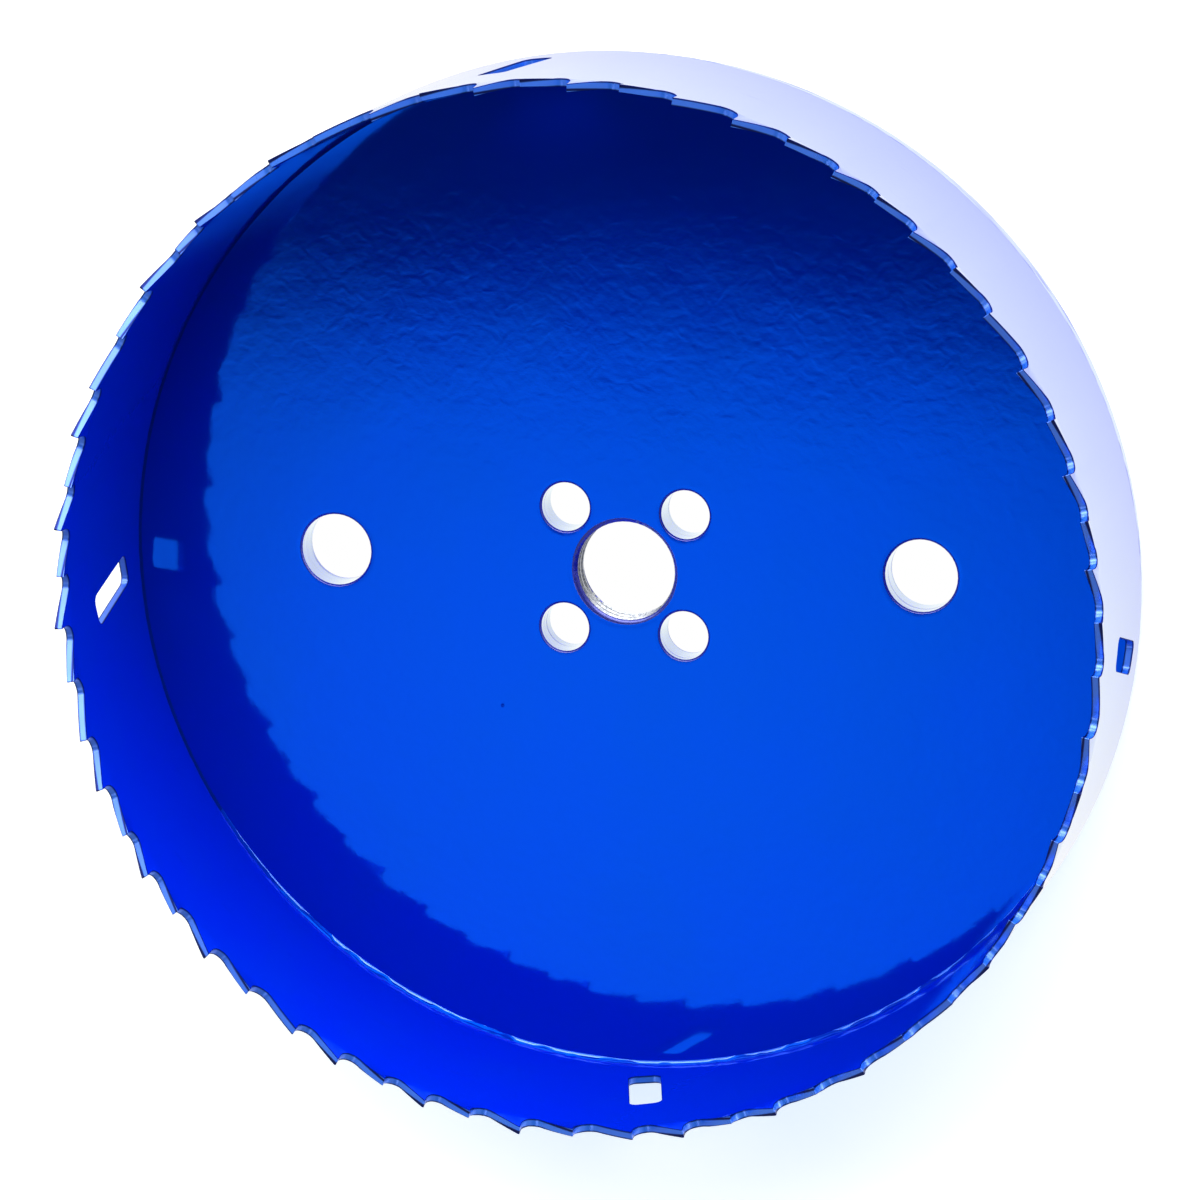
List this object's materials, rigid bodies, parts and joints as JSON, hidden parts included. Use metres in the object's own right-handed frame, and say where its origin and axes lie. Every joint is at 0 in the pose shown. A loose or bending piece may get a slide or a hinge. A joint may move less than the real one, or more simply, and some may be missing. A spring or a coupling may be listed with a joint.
{
  "type": "hole saw",
  "caption": "Shallow large-diameter cup hole saw: toothed steel band with slanted slots, welded to a flat base plate with a threaded arbor hole and drive pin holes.",
  "frame": {"origin": "centre of the base plate's back face", "axes": "+Z along the saw's axis of turning, from the back of the plate towards the teeth; +X through the ejector hole on the right"},
  "size_m": [0.1523, 0.1522, 0.037],
  "materials": {
    "band_enamel": "gloss",
    "plate_enamel": "gloss",
    "weld_enamel": "gloss"
  },
  "bodies": {
    "root": {"toothed_band": "band_enamel", "base_plate": "plate_enamel", "rim_weld": "weld_enamel", "corner_weld": "weld_enamel"}
  },
  "joints": []
}
